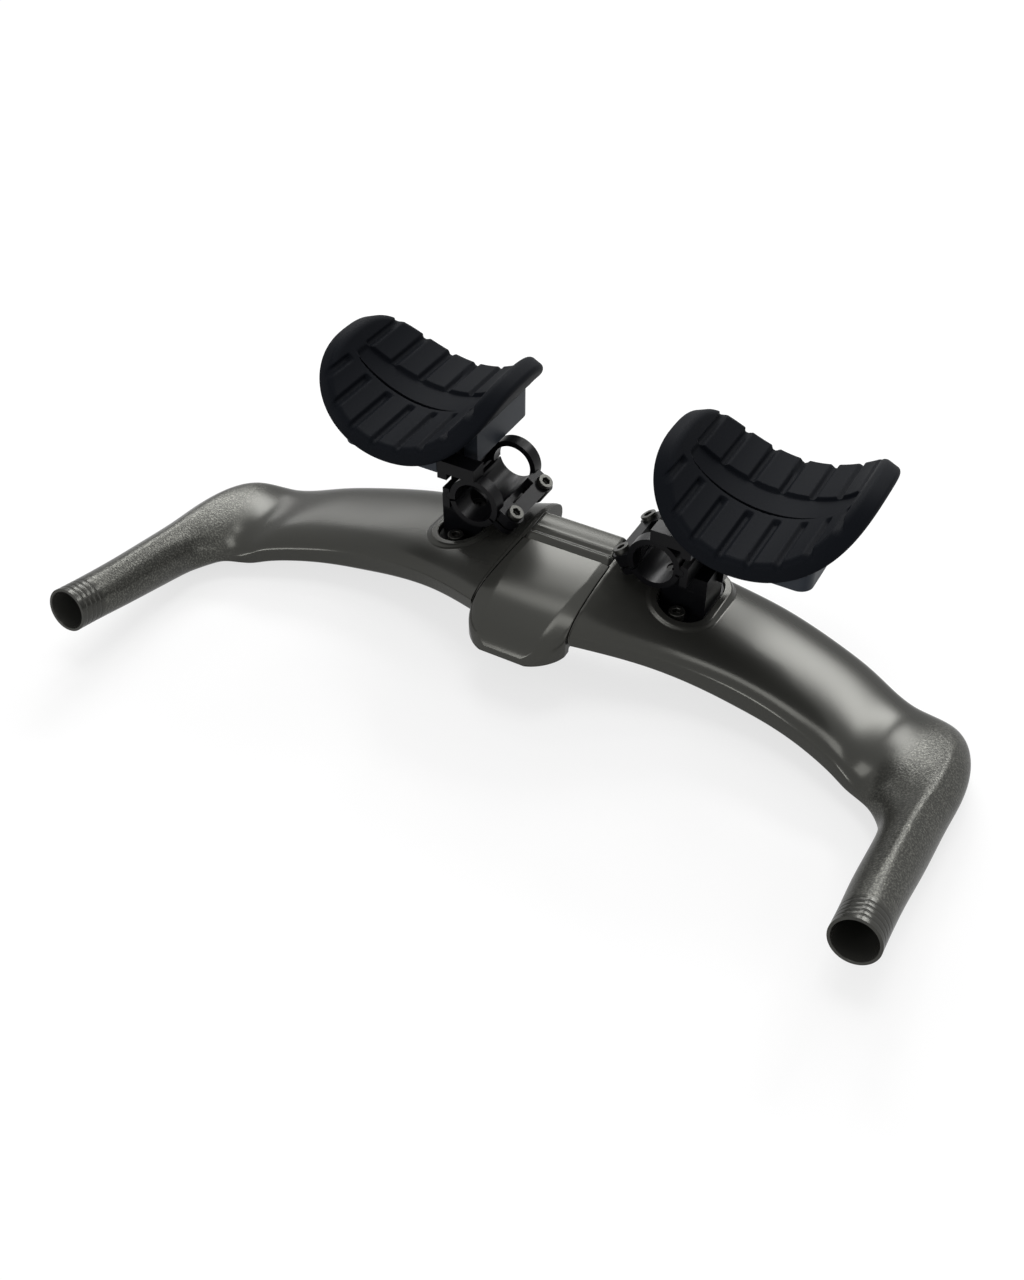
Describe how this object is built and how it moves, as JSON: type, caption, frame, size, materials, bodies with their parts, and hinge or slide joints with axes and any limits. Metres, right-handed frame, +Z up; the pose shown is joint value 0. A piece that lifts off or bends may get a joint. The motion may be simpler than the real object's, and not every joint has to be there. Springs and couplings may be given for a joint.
{
  "type": "time trial handlebar",
  "caption": "Aero base bar with forward grips, a nose cover over the stem seat, raised extension clamps and dished foam arm pads on hard cups.",
  "frame": {"origin": "centre of the stem seat, between the four bolt holes on the rear face of the bridge", "axes": "+X along the bar to the right grip, +Y to the rear towards the stem, +Z up"},
  "size_m": [0.4494, 0.2266, 0.1307],
  "materials": {
    "moulded_carbon": "satin clear coat over moulded carbon laminate",
    "black_anodised": "black anodised, bead blasted",
    "grey_steel": "plain socket screws",
    "plain_steel": "plain steel, hidden",
    "cup_plastic": "moulded, fine texture",
    "pad_foam": "moulded closed-cell foam",
    "hook_and_loop": "hook and loop sheet"
  },
  "bodies": {
    "root": {"base_bar": "moulded_carbon", "nose_cover": "moulded_carbon", "nose_cover_screws": "plain_steel", "left_clamp_foot": "black_anodised", "left_foot_screws": "grey_steel", "left_bar_inserts": "plain_steel", "left_clamp_body": "black_anodised", "left_clamp_cap": "black_anodised", "left_clamp_screws": "grey_steel", "left_base_screws": "plain_steel", "left_armrest_bracket": "black_anodised", "left_bracket_screws": "plain_steel", "left_arm_cup": "cup_plastic", "left_cup_screws": "plain_steel", "left_pad_fastener": "hook_and_loop", "left_arm_pad": "pad_foam", "right_clamp_foot": "black_anodised", "right_foot_screws": "grey_steel", "right_bar_inserts": "plain_steel", "right_clamp_body": "black_anodised", "right_clamp_cap": "black_anodised", "right_clamp_screws": "grey_steel", "right_base_screws": "plain_steel", "right_armrest_bracket": "black_anodised", "right_bracket_screws": "plain_steel", "right_arm_cup": "cup_plastic", "right_cup_screws": "plain_steel", "right_pad_fastener": "hook_and_loop", "right_arm_pad": "pad_foam"}
  },
  "joints": []
}
